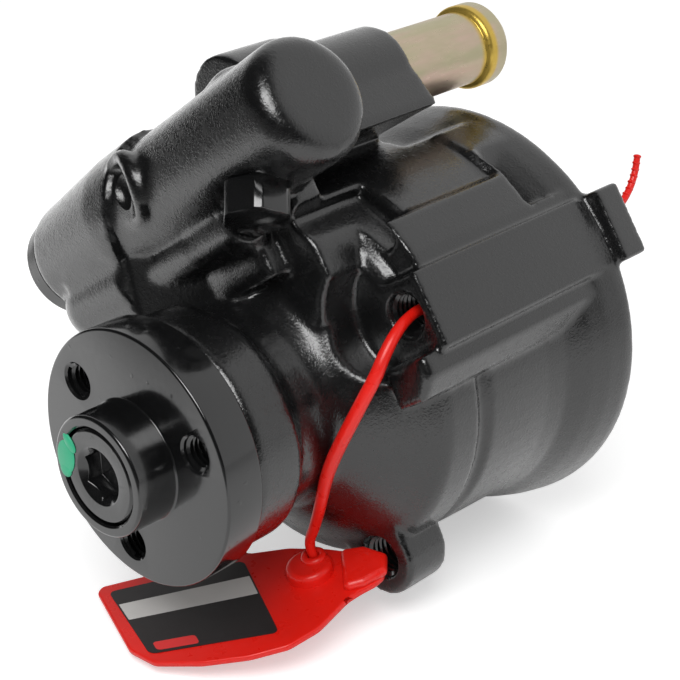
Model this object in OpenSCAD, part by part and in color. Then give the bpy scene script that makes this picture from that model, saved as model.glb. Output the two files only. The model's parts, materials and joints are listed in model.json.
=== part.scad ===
// Vane pump for power steering, with a flow control valve across its top.
// The shaft lies along Y, with the pulley hub towards -Y and the origin at the
// middle of the hub's front face. The pump is drawn upright on its own axes and
// is then rolled about the shaft into the attitude that it is stored in.

/* [Attitude] */
// Roll of the pump about its shaft, in degrees
pump_roll = 34.6; // [0:0.1:60]

/* [Hub] */
// Radius of the pulley flange
flange_r = 30; // [29:0.5:34]
// Thickness of the pulley flange
flange_t = 10; // [8:0.5:14]
// Radius of the nose that centres the pulley
nose_r = 14; // [13.5:0.1:16]
// Length of the nose
nose_len = 10.3; // [9:0.1:14]
// Pitch circle of the tapped pulley holes
pulley_pcd = 44; // [42:0.5:48]
// Number of pulley holes
pulley_holes = 3; // [2:1:6]
// Wall radius of a pulley hole, an M8 thread's minor radius
pulley_hole_r = 3.32; // [2.5:0.01:4.2]
// Turn of the first pulley hole
pulley_turn = -10.1; // [-60:0.1:60]
// Gap between the flange and the snout
hub_gap = 0.6; // [0.4:0.1:2]
// Chamfer on the hub's edges
hub_chamfer = 0.8; // [0.2:0.1:1.5]

/* [Hub screw] */
// Radius of the screw head
screw_head_r = 11; // [10:0.1:12]
// Height of the screw head
screw_head_h = 6.5; // [6:0.1:8]
// Radius of the screw's thread
screw_r = 5; // [4:0.1:6]
// Length of the screw under its head
screw_len = 24; // [16:0.5:30]
// Width across the flats of the hex socket
socket_af = 10; // [8:0.5:11]
// Depth of the hex socket
socket_depth = 5; // [4.5:0.1:5.5]
// Set of the screw head behind the nose's end
screw_set = 0.3; // [0:0.1:1]
// Radial gap round the screw head
screw_recess_gap = 0.4; // [0.2:0.05:0.8]

/* [Shaft] */
// Radius of the shaft in its bearing
shaft_r = 9; // [8.5:0.1:10]
// Step in radius from the bearing to the hub and rotor seats
shaft_step = 0.8; // [0.4:0.1:1]
// Radius of the shaft's rear tip
tip_r = 6; // [5:0.1:6.4]
// Running clearance of turning pieces, on radius
run_gap = 0.03; // [0.02:0.01:0.08]
// Clearance of sliding or located pieces
fit_gap = 0.05; // [0.02:0.01:0.1]

/* [Snout] */
// Radius of the snout ring
snout_r = 28; // [26.5:0.5:30]
// Length of the snout ring
snout_len = 14.4; // [12:0.2:20]
// Radius of the neck behind the snout
neck_r = 24.5; // [22:0.5:26]
// Length of the neck
neck_len = 9; // [6:0.5:14]
// Length of the flare from neck to body
flare_len = 18; // [14:0.5:24]
// Radius of the shaft seal
seal_r = 15; // [13:0.5:18]
// Width of the shaft seal
seal_w = 7; // [5:0.5:9]
// Depth of the shaft seal behind the snout's face
seal_inset = 1; // [0.5:0.1:2]
// Radius of the bearing bush
bush_r = 11.5; // [11:0.1:13]
// Length of the bearing bush
bush_len = 18; // [12:0.5:24]

/* [Body] */
// Radius at the front of the body
body_front_r = 44.5; // [44:0.5:45]
// Radius at the middle of the body
body_mid_r = 45.5; // [45:0.5:47]
// Radius at the rear of the body
body_rear_r = 51.5; // [50:0.5:53]
// Depth of the shallow band round the body
band_depth = 0.9; // [0.3:0.1:2]
// Width of the band's floor
band_w = 2.4; // [1:0.2:4]
// Length of the thicker rear of the body
rear_len = 12; // [8:0.5:16]
// Rounding of the rear edge
rear_round = 2; // [1:0.5:4]
// Thickness of the cavity's front wall
floor_t = 6; // [5:0.5:9]
// Radius of the cavity that holds the pumping group
cavity_r = 36; // [35:0.2:36.5]
// Length of the rim behind the retaining ring
rim_len = 3.5; // [2:0.5:6]

/* [Pumping group] */
// Thickness of the thrust plate
thrust_t = 6; // [4:0.5:8]
// Width of the cam ring and the rotor
cam_w = 20; // [16:0.5:24]
// Radius of the rotor
rotor_r = 24; // [22:0.5:25]
// Offset of each lobe of the cam ring
cam_lobe = 1.8; // [1:0.1:2.2]
// Number of vanes
vane_count = 10; // [8:1:12]
// Thickness of a vane
vane_t = 2; // [1.4:0.1:2.6]
// Depth of a vane from the rotor's rim
vane_h = 9; // [6:0.5:10]
// Thickness of the pressure plate
plate_t = 10; // [9.5:0.5:14]
// Height of the disc spring behind the pressure plate
spring_h = 6; // [4:0.5:9]
// Thickness of the disc spring
spring_t = 1.2; // [0.8:0.1:1.6]
// Thickness of the end cover
cover_t = 8; // [7:0.5:12]
// Thickness of the retaining ring
ring_t = 2; // [1.5:0.1:3]
// Depth of the retaining ring's groove
ring_groove = 1.8; // [1.2:0.1:2]
// Section radius of the O-rings
oring_r = 1.3; // [1:0.1:1.6]
// Radius of a dowel pin
dowel_r = 2.2; // [1.5:0.1:2.5]
// Distance of the dowel pins' circle inside the cavity's wall
dowel_set = 5.4; // [5:0.1:6]

/* [Long ear] */
// Distance of the ear's bore from the shaft, square to the outer face
ear_x = 43.5; // [43:0.1:45]
// Distance of the ear's bore from the shaft, along the outer face
ear_z = 4.2; // [0:0.1:6]
// Wall radius of the bore, an M10 thread's minor radius
ear_bore_r = 4.25; // [3.3:0.05:4.4]
// Outer face above the bore's axis
ear_face = 7.7; // [6:0.1:10]
// Half width of the ear's outer face
ear_half_w = 9; // [8:0.5:12]
// Sideways shift of the ear's outer face
ear_shift = -1; // [-2:0.1:2]
// Length of the rear pad behind the body
pad_over = 6.5; // [3:0.5:10]
// Length of the rear pad
pad_len = 8.5; // [6:0.5:12]
// Height of the rear pad over the ear's face
pad_rise = 3.3; // [1:0.1:5]
// Width of the groove in front of the rear pad
pad_groove = 3; // [2:0.2:5]
// Radius of the round pocket in front of the ear
pocket_r = 15.2; // [13:0.2:16]
// Width of the skirt along the ear's lower edge
skirt_w = 4; // [2:0.5:6]
// Set of the skirt's face below the ear's outer face
skirt_set = 2.2; // [1.5:0.1:3]
// Reach of the skirt in front of the ear's face
skirt_front = 6; // [2:0.5:8]
// Set of the ears' faces in front of the body
ear_step = 2; // [0:0.5:4]

/* [Lower ear] */
// Distance of the lower ear's bore below the shaft
low_z = 45.5; // [45:0.5:50]
// Sideways distance of the lower ear's bore
low_x = 1.5; // [-2:0.5:6]
// Radius of the ear's round end
low_r = 9.5; // [8:0.1:10]
// Thickness of the ear
low_t = 13; // [10:0.5:16]
// Wall radius of its bore
low_bore_r = 4.25; // [3.3:0.05:4.4]
// Wall left behind its bore
low_wall = 2; // [1:0.5:3]

/* [Valve tower] */
// Height of the valve's axis over the shaft
valve_z = 54; // [53:0.5:57]
// Valve's axis behind the start of the flare
valve_back = 6; // [5:0.5:9]
// Outer radius of the valve barrel
valve_r = 14.5; // [14:0.1:16]
// Reach of the barrel to the closed end
valve_right = 58; // [56:0.5:62]
// Reach of the barrel to the union
valve_left = 44; // [43:0.5:48]
// Drop of the barrel towards the union, in degrees
valve_tilt = 2.5; // [0:0.5:4]
// Extra radius of the thicker stretch at the union
sleeve_swell = 1.8; // [1:0.1:3]
// Rounding of the closed end
valve_round = 5; // [2:0.5:8]
// Thickness of the closed end
valve_end_t = 7; // [6:0.5:9]
// Radius of the valve bore
valve_bore_r = 7; // [6:0.1:7.4]
// Length of the spool
spool_len = 34; // [30:0.5:36]
// Wire radius of the flow spring
flow_wire_r = 0.8; // [0.6:0.1:1]

/* [Tower foot] */
// Radius of the boss under the union's end of the barrel
boss_r = 9.5; // [8:0.5:11]
// Height of that boss over the shaft
boss_z = 36.5; // [35:0.5:38]
// Reach of the boss to its domed end
boss_left = 36; // [34:0.5:40]
// Right edge of the boss
boss_edge = 14; // [12:0.5:18]
// Reach of the cheek that falls back from the tower's edge
cheek_x = 14; // [8:0.5:20]
// Depth of the cheek's foot in the neck
cheek_foot = 4.5; // [3:0.5:8]
// Radius of the ledge's round edge
ledge_r = 5; // [4:0.5:6]
// Drop of the ledge below the valve's axis
ledge_drop = 17.5; // [16:0.5:19]
// Reach of the ledge to the closed end
ledge_x = 27; // [25:0.5:29]
// Radius of the lug behind the barrel
lug_r = 11.5; // [10:0.5:13]
// Sideways place of the lug
lug_x = 13.5; // [12:0.5:18]
// Height of the lug over the valve's axis
lug_rise = 11; // [8:0.5:12]

/* [Union] */
// Radius of the union's thread in the tower
union_r = 9.5; // [9:0.1:10.5]
// Length of the union's thread
union_len = 17; // [14:0.5:20]
// Radius of the union's collar
union_collar_r = 13; // [12:0.1:13.5]
// Length of the union's collar
union_collar = 5; // [4:0.5:10]
// Wall radius of the pressure port, an M16 thread's minor radius
port_r = 7.19; // [6:0.01:7.6]
// Depth of the pressure port
port_depth = 13; // [10:0.5:15]
// Thickness of the sealing washer
washer_t = 1; // [0.6:0.1:1.5]

/* [Cross plug] */
// Place of the plug along the valve
plug_x = 35; // [30:0.5:38]
// Lean of the plug towards the hub, in degrees
plug_lean = 31; // [20:1:45]
// Width of the plug's hex head across its flats
plug_af = 13; // [12:0.5:14]
// Height of the hex head
plug_h = 8; // [6:0.5:10]
// Radius of the plug's thread
plug_r = 4; // [3:0.1:4.5]
// Distance of the plug's seat from the valve's axis
plug_seat = 12.6; // [12:0.1:13]

/* [Suction] */
// Sideways place of the suction boss
suction_x = 31; // [30:0.5:34]
// Height of the suction boss
suction_z = 57.5; // [56:0.5:59]
// Radius of the suction boss
suction_r = 12; // [11:0.1:13]
// Length of the boss behind the ears' faces
suction_len = 35; // [33:0.5:38]
// Spread of the boss's flank at its foot
suction_flare = 2.5; // [1:0.5:4]
// Outer radius of the pipe
pipe_r = 8.9; // [8:0.1:9.5]
// Wall of the pipe
pipe_wall = 1.3; // [1:0.1:1.8]
// Length of the pipe outside the boss
pipe_out = 37.5; // [30:0.5:45]
// Length of the pipe inside the boss
pipe_in = 16; // [12:0.5:20]
// Height of the hose bead
bead_h = 1.4; // [1:0.1:2.2]
// Length of the hose bead
bead_len = 7; // [4:0.5:9]
// Distance of the bead from the pipe's end
bead_set = 1.2; // [1:0.1:7]

/* [Flank] */
// Height of the flank pad's upper edge over the shaft
pad_top = 46; // [44:0.5:48]
// Distance of the side flat from the shaft
side_x = 49.2; // [48.5:0.1:50]
// Set of the shoulder behind the flank under the rear rim
shoulder_set = 0.3; // [0.2:0.1:1.5]
// Height of the flank's wall above the long ear
wall_high = 12.5; // [11.5:0.5:13.5]
// Radius of the round under the suction boss, above the flank's wall
round_r = 49.8; // [49:0.1:50.5]
// Set of the side flat behind the ear's face
side_set = 4; // [3:0.5:6]
// Direction of the pocket under the flank pad, in degrees
hollow_turn = 34; // [30:1:38]
// Half width of the pocket
hollow_half = 9; // [7:0.5:10]
// Depth of the pocket behind the ear's face
hollow_depth = 12; // [8:0.5:16]
// Thickness of the pad's lip over the pocket
lip_t = 3.5; // [3:0.5:5]

/* [Seal] */
// Thickness of the seal's flag
flag_t = 1.6; // [1.2:0.1:2]
// Radius of the lock chamber
lock_r = 5.6; // [5:0.1:6.5]
// Height of the lock chamber over the flag
lock_h = 3; // [2:0.1:4]
// Radius of the strap
strap_r = 1.25; // [1:0.05:1.4]
// Thickness of the label
label_t = 0.2; // [0.1:0.05:0.4]

/* [Hidden] */
$fn = 64;

paint = "#161719";
steel = "#9a9c9f";
dark_steel = "#55585c";
rubber = "#202224";
bronze = "#a5824a";
zinc = "#c9b48c";
red = "#d8140c";
eps = 0.01;
over = 40;

// Stations along the shaft, from the hub's front face to the rear
y_snout = flange_t + hub_gap;
y_neck = y_snout + snout_len;
y_flare = y_neck + neck_len;
y_body = y_flare + flare_len;
y_ear = y_body - ear_step;
y_floor = y_body + floor_t;
y_cam = y_floor + thrust_t;
y_plate = y_cam + cam_w;
y_spring = y_plate + plate_t;
y_cover = y_spring + spring_h;
y_ring = y_cover + cover_t;
y_rim = y_ring + ring_t;
y_rear = y_rim + rim_len;
y_valve = y_flare + valve_back;
y_suction = y_ear + suction_len;
y_bush = y_snout + seal_inset + seal_w + 1.5;

hub_floor = screw_head_h + screw_set - nose_len;
seat_r = shaft_r - shaft_step;
disc_r = cavity_r - fit_gap;
dowel_circle = cavity_r - dowel_set;
y_clip = y_plate + 0.5;
clip_t = 1.2;
clip_play = 0.1;
clip_root = seat_r - 1;
tip_step = 3;
dowel_seat = 4;
dowel_end = 4;
ear_top = ear_x + ear_face;
ear_low = ear_z + ear_shift - ear_half_w;
ear_high = ear_z + ear_shift + ear_half_w;
y_pad = y_rear + pad_over - pad_len;
valve_floor = valve_right - valve_end_t;
spool_left = union_len - valve_left + 0.5;
spool_right = spool_left + spool_len;
spool_r = valve_bore_r - run_gap;
washer_r = union_collar_r + 0.8;

// Turns a shape drawn round Z so that its axis points along +Y or +X
module along_y() {
    rotate([-90, 0, 0]) children();
}

module along_x() {
    rotate([0, 90, 0]) children();
}

module roll() {
    rotate([0, -pump_roll, 0]) children();
}

// Cylinder along Y or X between two stations
module rod_y(r, y0, y1, x = 0, z = 0) {
    translate([x, y0, z]) along_y() cylinder(r = r, h = y1 - y0);
}

module rod_x(r, x0, x1, y = 0, z = 0) {
    translate([x0, y, z]) along_x() cylinder(r = r, h = x1 - x0);
}

module block(lo, hi) {
    translate(lo) cube(hi - lo);
}

// Solid of revolution round the shaft, from points of radius and station
module turned(points) {
    along_y() rotate_extrude() polygon(points);
}

// Points of a quarter round from a start angle, for profiles
function arc(cx, cy, r, a0, a1, n = 6) =
    [for (i = [0:n]) let (a = a0 + (a1 - a0) * i / n) [cx + r * cos(a), cy + r * sin(a)]];

// Closed tube of given radius along a list of points
function unit(v) = v / norm(v);
function heading(p, i) = unit(p[min(i + 1, len(p) - 1)] - p[max(i - 1, 0)]);
function ring_at(p, i, r, n, side) =
    let (t = heading(p, i), u = unit(cross(t, side)), v = cross(t, u))
    [for (k = [0:n - 1]) p[i] + r * (cos(360 * k / n) * u + sin(360 * k / n) * v)];

module tube(p, r, n, side) {
    last = len(p) - 1;
    points = [for (i = [0:last]) each ring_at(p, i, r, n, side)];
    walls = [for (i = [0:last - 1]) for (k = [0:n - 1])
        let (a = i * n + k, b = i * n + (k + 1) % n)
        each [[a, b, b + n], [a, b + n, a + n]]];
    ends = [[for (k = [n - 1:-1:0]) k], [for (k = [0:n - 1]) last * n + k]];
    polyhedron(points, concat(walls, ends), convexity = 6);
}

// Points of a coil spring along X
function coil(x0, x1, r, turns, per_turn) =
    [for (i = [0:turns * per_turn]) let (a = 360 * i / per_turn)
        [x0 + (x1 - x0) * i / (turns * per_turn), r * cos(a), r * sin(a)]];

// Housing: the turned form of snout, neck, flare and body
module body_form() {
    y_band = y_floor + 7;
    y_swell = y_rear - rear_len;
    turned(concat(
        [[0, y_snout], [snout_r - 1.5, y_snout], [snout_r, y_snout + 1.5], [snout_r, y_neck - 2],
            [snout_r - 1.5, y_neck], [neck_r, y_neck + 1.5], [neck_r, y_flare],
            [neck_r + 2, y_flare + flare_len * 0.25], [neck_r + 7, y_flare + flare_len * 0.48],
            [body_front_r - 5, y_flare + flare_len * 0.86], [body_front_r - 1, y_body],
            [body_front_r, y_body + 2], [body_front_r + 0.4, y_band - band_w],
            [body_front_r - band_depth, y_band - band_w / 2],
            [body_front_r - band_depth, y_band + band_w / 2],
            [body_front_r + 0.4, y_band + band_w], [body_mid_r, y_swell - 14],
            [body_mid_r + 0.8, y_swell - 8],
            [body_rear_r - 2.6, y_swell - 2], [body_rear_r - 1, y_swell + 3], [body_rear_r, y_swell + 8]],
        arc(body_rear_r - rear_round, y_rear - rear_round, rear_round, 0, 90),
        [[0, y_rear]]));
}

// Housing: the long ear beside the body, with its rear pad and the strip along its top
module long_ear_form() {
    root = ear_x - 14;
    strip_w = 3;
    block([root, y_ear, ear_low], [ear_top, y_pad - pad_groove, ear_high]);
    block([root, y_ear, ear_low + 1], [ear_top - 2, y_pad + eps, ear_high - 1]);
    block([root + 6, y_pad, ear_low], [ear_top + pad_rise, y_rear + pad_over, ear_high]);
    block([root, y_ear + side_set, ear_high - 1], [side_x, y_pad - pad_groove, ear_high + strip_w]);
}

// Housing: the skirt under the long ear, which runs on in front of the ear's face
module ear_skirt_form() {
    face = ear_top - skirt_set;
    root = ear_x - 8;
    edge = ear_low - skirt_w;
    y_end = y_pad - pad_groove;
    translate([0, y_end, 0]) rotate([90, 0, 0]) linear_extrude(y_end - y_ear + skirt_front)
        polygon([[root, ear_low + 1], [face, ear_low + 1], [face, edge], [face - 5, edge - 4.5],
            [root, edge - 4.5]]);
}

// Housing: the lower ear
module lower_ear_form() {
    ear_root = body_front_r - 14;
    translate([0, y_ear + low_t, 0]) rotate([90, 0, 0]) linear_extrude(low_t) {
        translate([low_x, -low_z]) circle(low_r);
        translate([low_x - low_r, -low_z]) square([2 * low_r, low_z - ear_root]);
    }
}

// Frame of the valve, whose X axis is the valve's own axis
module at_valve() {
    translate([valve_right, y_valve, valve_z]) rotate([0, -valve_tilt, 0])
        translate([-valve_right, 0, 0]) children();
}

// Housing: the valve barrel
module barrel_form() {
    length = valve_left + valve_right;
    at_valve() translate([-valve_left, 0, 0]) along_x() rotate_extrude() polygon(concat(
        [[0, 0], [valve_r - 1, 0], [valve_r, 1]],
        arc(valve_r - valve_round, length - valve_round, valve_round, 0, 90),
        [[0, length]]));
}

// Outline of the tower's front, with its slanting right edge
module tower_outline() {
    polygon([[-over - valve_left, boss_z - 7], [-boss_edge, boss_z - 7], [2 - boss_edge, boss_z + 4],
        [6 - boss_edge, valve_z - 6], [10 - boss_edge, valve_z + 2], [22 - boss_edge, valve_z + over],
        [-over - valve_left, valve_z + over]]);
}

// Housing: thicker stretch of the barrel, as far as the tower's slanting edge
module sleeve_form() {
    thick = valve_r + sleeve_swell;
    intersection() {
        at_valve() translate([-valve_left, 0, 0]) along_x() rotate_extrude()
            polygon([[0, 0], [valve_r - 1, 0], [valve_r, 1], [thick, valve_left - boss_edge],
                [thick, 2 * over], [0, 2 * over]]);
        translate([0, y_valve + over, 0]) rotate([90, 0, 0]) linear_extrude(2 * over) tower_outline();
    }
}

// Housing: the foot of the tower, its domed boss, its ledge and the webs to the body
module tower_foot_form() {
    y_boss = y_valve - 5.5;
    pad_front = valve_r - 0.5;
    web_left = valve_left - 4;
    ledge_z = valve_z - ledge_drop;
    rod_x(boss_r, -boss_left, -boss_edge, y_boss, boss_z);
    translate([-boss_left, y_boss, boss_z]) sphere(boss_r);
    // Plate between the barrel and the boss
    intersection() {
        block([-boss_left, y_valve - pad_front, boss_z - 8], [over, y_valve + 6, valve_z]);
        translate([0, y_valve + over, 0]) rotate([90, 0, 0]) linear_extrude(2 * over) tower_outline();
    }
    // Cheek from the plate's right edge back to the wall behind the ledge
    translate([0, 0, neck_r - cheek_foot]) linear_extrude(valve_z - neck_r)
        polygon([[-boss_edge - 1, y_valve - pad_front + 0.4], [cheek_x, y_valve - 3],
            [-boss_edge - 1, y_valve - 3]]);
    rod_x(ledge_r, -boss_edge - 4, ledge_x, y_flare, ledge_z);
    translate([ledge_x, y_flare, ledge_z]) sphere(ledge_r);
    block([-boss_edge - 4, y_flare, neck_r - 1], [ledge_x, y_valve + 6, ledge_z + ledge_r]);
    // Webs down to the body
    block([-web_left, y_valve, 10], [ledge_x + 10, y_ear + 10, valve_z]);
    block([-web_left, y_ear, 10], [lug_x + 7, y_ear + 24, valve_z + 2]);
    rod_y(lug_r, y_ear + 4, y_ear + 24, lug_x, valve_z + lug_rise);
}

// Housing: the suction boss behind the valve, with its flank spreading to the body
module suction_form() {
    side = suction_x + suction_r;
    foot = cavity_r - 16;
    rod_y(suction_r, y_valve, y_suction, suction_x, suction_z);
    translate([0, y_suction, 0]) rotate([90, 0, 0]) linear_extrude(y_suction - y_ear - 6)
        polygon([[suction_x - suction_r, foot], [suction_x - suction_r, suction_z],
            [side - 0.2, suction_z - 1.5], [side + suction_flare, pad_top],
            [side + suction_flare - 2, pad_top - 8], [suction_x - 1, foot]]);
}

// Housing: flat beside the body, and the raised pad from the suction boss down to it
module flank_form() {
    y_flat = y_ear + side_set;
    shelf = suction_x + suction_r;
    corner = ear_high + wall_high;
    root = cavity_r - 6;
    crest = pad_top - 13;
    y_flat_end = y_suction + 10;
    y_pad_end = y_suction + 4;
    y_swell = y_rear - rear_len;
    // Shoulder from the pad back to the rear rim
    intersection() {
        rod_y(body_rear_r - shoulder_set, y_pad_end - 6, y_swell + 8);
        block([suction_x - suction_r, 0, ear_high], [over, y_rear, over]);
    }
    translate([0, y_flat_end, 0]) rotate([90, 0, 0]) linear_extrude(y_flat_end - y_flat)
        polygon([[root, ear_high - 2], [side_x, ear_high - 2], [side_x, ear_high + 3],
            [side_x - 3, corner], [root + 10, crest], [root, crest]]);
    hull() {
        translate([root - 2, y_ear, crest - 3]) cube(2);
        translate([shelf - 5, y_ear, pad_top - 7.5]) cube(2);
        translate([shelf - 1.5, y_ear + 8, pad_top - 1.5]) cube(2);
        translate([shelf - 0.5, y_suction - 2, pad_top - 2]) cube(2);
        translate([side_x - 3, y_flat + 3, corner]) cube(2);
        translate([side_x - 4, y_pad_end, corner + 1]) cube(2);
        translate([root + 8, y_pad_end, crest + 4.5]) cube(2);
    }
}

// Pocket cut in under the flank pad's front edge
module flank_hollow() {
    low = body_front_r + 1;
    rotate([0, -hollow_turn, 0])
        block([low, y_ear - over / 4, -hollow_half], [low + 8.5 - lip_t, y_ear + hollow_depth, hollow_half]);
}

// Room around the body's round, from the flank's wall up to the suction boss
module flank_round() {
    y_front = y_ear - 1;
    y_end = y_rear - rear_len - 8;
    difference() {
        block([suction_x - suction_r, y_front, ear_high + wall_high], [over + side_x, y_end, pad_top - 1]);
        rod_y(round_r, y_front - 1, y_end + 1);
    }
}

module plug_axis() {
    at_valve() translate([plug_x, 0, 0]) rotate([180 - plug_lean, 0, 0]) children();
}

module housing_bores() {
    rod_y(seal_r, y_snout - eps, y_snout + seal_inset + seal_w);
    rod_y(bush_r, y_snout, y_bush + bush_len);
    rod_y(shaft_r + 1, y_snout, y_floor + eps);
    rod_y(cavity_r, y_floor, y_rear + over);
    rod_y(cavity_r + ring_groove, y_ring, y_rim);
    for (side = [-1, 1])
        rod_y(dowel_r, y_floor - dowel_seat, y_floor + eps, 0, side * dowel_circle);
    rod_y(ear_bore_r, y_ear - over, y_rear + over, ear_x, ear_z);
    rod_y(low_bore_r, y_ear - over / 4, y_ear + low_t - low_wall, low_x, -low_z);
    at_valve() rod_x(valve_bore_r, -valve_left - over, valve_floor);
    at_valve() rod_x(union_r, -valve_left - over, union_len - valve_left);
    at_valve() rod_x(washer_r + 0.5, -valve_left - over, -valve_left);
    rod_y(pipe_r, y_suction - pipe_in, y_suction + over, suction_x, suction_z);
    rod_y(pipe_r - pipe_wall, y_suction - pipe_in - 6, y_suction, suction_x, suction_z);
    plug_axis() cylinder(r = plug_r, h = over);
    plug_axis() translate([0, 0, plug_seat]) cylinder(r = plug_af * 0.66, h = over / 2);
}

// Round pocket cut in front of the long ear's face
module ear_pocket() {
    rod_y(pocket_r, y_ear - 24, y_ear, ear_x, ear_z);
}

module housing() {
    color(paint) roll() difference() {
        union() {
            difference() {
                union() {
                    body_form();
                    long_ear_form();
                    lower_ear_form();
                    barrel_form();
                    sleeve_form();
                    tower_foot_form();
                    suction_form();
                    flank_form();
                }
                ear_pocket();
            }
            ear_skirt_form();
        }
        flank_hollow();
        flank_round();
        housing_bores();
    }
}

// Drive pieces on the shaft
module pulley_hub() {
    color(paint) roll() difference() {
        turned([[seat_r, hub_floor], [seat_r, flange_t], [flange_r - hub_chamfer, flange_t],
            [flange_r, flange_t - hub_chamfer], [flange_r, hub_chamfer], [flange_r - hub_chamfer, 0],
            [nose_r, 0], [nose_r, hub_chamfer - nose_len], [nose_r - hub_chamfer, -nose_len],
            [screw_head_r + screw_recess_gap, -nose_len], [screw_head_r + screw_recess_gap, hub_floor]]);
        for (i = [0:pulley_holes - 1])
            rotate([0, -pulley_turn - 360 * i / pulley_holes, 0])
                rod_y(pulley_hole_r, -eps, flange_t + eps, pulley_pcd / 2);
    }
}

module hub_screw() {
    front = hub_floor - screw_head_h;
    edge = 0.6;
    tip = hub_floor + screw_len;
    lead_in = 1.6;
    color(paint) roll() difference() {
        turned([[0, front], [screw_head_r - edge, front], [screw_head_r, front + edge],
            [screw_head_r, hub_floor], [screw_r, hub_floor], [screw_r, tip - 1], [screw_r - 1, tip],
            [0, tip]]);
        translate([0, front - eps, 0]) along_y() {
            cylinder(d = socket_af / cos(30), h = socket_depth, $fn = 6);
            cylinder(r1 = socket_af * 0.68, r2 = socket_af * 0.5, h = lead_in);
        }
    }
}

module drive_shaft() {
    y_start = hub_floor + 0.5;
    y_end = y_spring - 2;
    hole = hub_floor + screw_len + 2;
    tip_edge = 0.6;
    color(steel) roll() turned([[screw_r, y_start], [seat_r, y_start], [seat_r, flange_t],
        [shaft_r, flange_t], [shaft_r, y_cam], [seat_r, y_cam], [seat_r, y_clip - clip_play],
        [clip_root, y_clip - clip_play],
        [clip_root, y_clip + clip_t + clip_play], [seat_r, y_clip + clip_t + clip_play],
        [seat_r, y_plate + tip_step], [tip_r, y_plate + tip_step], [tip_r, y_end - tip_edge],
        [tip_r - tip_edge, y_end], [0, y_end], [0, hole], [screw_r, hole]]);
}

module shaft_seal() {
    y0 = y_snout + seal_inset;
    lip = shaft_r + run_gap;
    y1 = y0 + seal_w;
    color(rubber) roll() turned([[lip, y1 - 2], [lip + 0.6, y1 - 0.6], [seal_r - 3, y1 - 1],
        [seal_r - 3, y1], [seal_r, y1], [seal_r, y0], [lip + 0.4, y0], [lip + 0.2, y0 + 0.8],
        [seal_r - 4, y0 + 1.6], [seal_r - 4, y0 + 2.6]]);
}

module front_bush() {
    y0 = y_bush;
    color(bronze) roll() turned([[shaft_r + run_gap, y0], [bush_r, y0], [bush_r, y0 + bush_len],
        [shaft_r + run_gap, y0 + bush_len]]);
}

module dowel_holes(y0, y1) {
    for (side = [-1, 1])
        rod_y(dowel_r + fit_gap / 2, y0 - eps, y1 + eps, 0, side * dowel_circle);
}

module dowel_pins() {
    color(steel) roll() for (side = [-1, 1])
        rod_y(dowel_r, y_floor - dowel_seat, y_spring - dowel_end, 0, side * dowel_circle);
}

// Pair of round ports through a plate, on the cam ring's suction or pressure axis
module plate_ports(y0, y1, angle) {
    for (turn = [0, 180])
        rotate([0, -angle - turn, 0]) rod_y(3.4, y0 - eps, y1 + eps, rotor_r - 4);
}

module thrust_plate() {
    color(steel) roll() difference() {
        turned([[shaft_r + 0.4, y_floor], [disc_r, y_floor], [disc_r, y_cam], [shaft_r + 0.4, y_cam]]);
        dowel_holes(y_floor, y_cam);
        plate_ports(y_floor, y_cam, 45);
    }
}

module cam_ring() {
    color(steel) roll() difference() {
        rod_y(disc_r, y_cam, y_plate);
        for (side = [-1, 1])
            rod_y(rotor_r + 0.3, y_cam - eps, y_plate + eps, side * cam_lobe);
        dowel_holes(y_cam, y_plate);
    }
}

module rotor() {
    slot_foot = rotor_r - vane_h - 1;
    half_slot = vane_t / 2 + run_gap;
    color(dark_steel) roll() difference() {
        rod_y(rotor_r, y_cam + run_gap, y_plate - run_gap);
        rod_y(seat_r, y_cam, y_plate);
        for (i = [0:vane_count - 1])
            rotate([0, -360 * i / vane_count, 0]) {
                block([slot_foot, y_cam, -half_slot], [rotor_r + 2, y_plate, half_slot]);
                rod_y(vane_t, y_cam, y_plate, slot_foot);
            }
    }
}

module vanes() {
    side_gap = 2 * run_gap;
    color(steel) roll() for (i = [0:vane_count - 1])
        rotate([0, -360 * i / vane_count, 0])
            block([rotor_r - vane_h, y_cam + side_gap, -vane_t / 2],
                [rotor_r - fit_gap, y_plate - side_gap, vane_t / 2]);
}

module rotor_clip() {
    color(dark_steel) roll() difference() {
        turned([[clip_root, y_clip], [seat_r + 2, y_clip], [seat_r + 2, y_clip + clip_t],
            [clip_root, y_clip + clip_t]]);
        block([-3, y_plate, 0], [3, y_plate + tip_step, seat_r + 4]);
    }
}

module oring(y) {
    along_y() translate([0, 0, y]) rotate_extrude() translate([disc_r - oring_r, 0]) circle(oring_r);
}

// Radius and stations of an O-ring groove in a disc's rim
function groove(y) = [[disc_r, y - oring_r - 0.2], [disc_r - 2 * oring_r - 0.1, y - oring_r - 0.2],
    [disc_r - 2 * oring_r - 0.1, y + oring_r + 0.2], [disc_r, y + oring_r + 0.2]];

module pressure_plate() {
    color(steel) roll() difference() {
        turned(concat([[0, y_spring - 1.6], [0, y_spring], [disc_r - 1, y_spring], [disc_r, y_spring - 1]],
            [for (i = [3:-1:0]) groove(y_plate + plate_t * 0.6)[i]],
            [[disc_r, y_plate], [seat_r + 4, y_plate], [seat_r + 4, y_plate + 3.2],
                [tip_r + run_gap, y_plate + 3.2], [tip_r + run_gap, y_spring - 1.6]]));
        dowel_holes(y_plate, y_spring - dowel_end);
        plate_ports(y_plate, y_spring, -45);
    }
}

module pressure_plate_ring() {
    color(rubber) roll() oring(y_plate + plate_t * 0.6);
}

module plate_spring() {
    small = cavity_r - 22;
    wide = cavity_r - 8;
    color(dark_steel) roll() turned([[small, y_spring], [small + 2, y_spring],
        [wide - 2, y_cover - spring_t], [wide, y_cover - spring_t], [wide, y_cover], [wide - 2.6, y_cover],
        [small + 1.4, y_spring + spring_t], [small, y_spring + spring_t]]);
}

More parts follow.
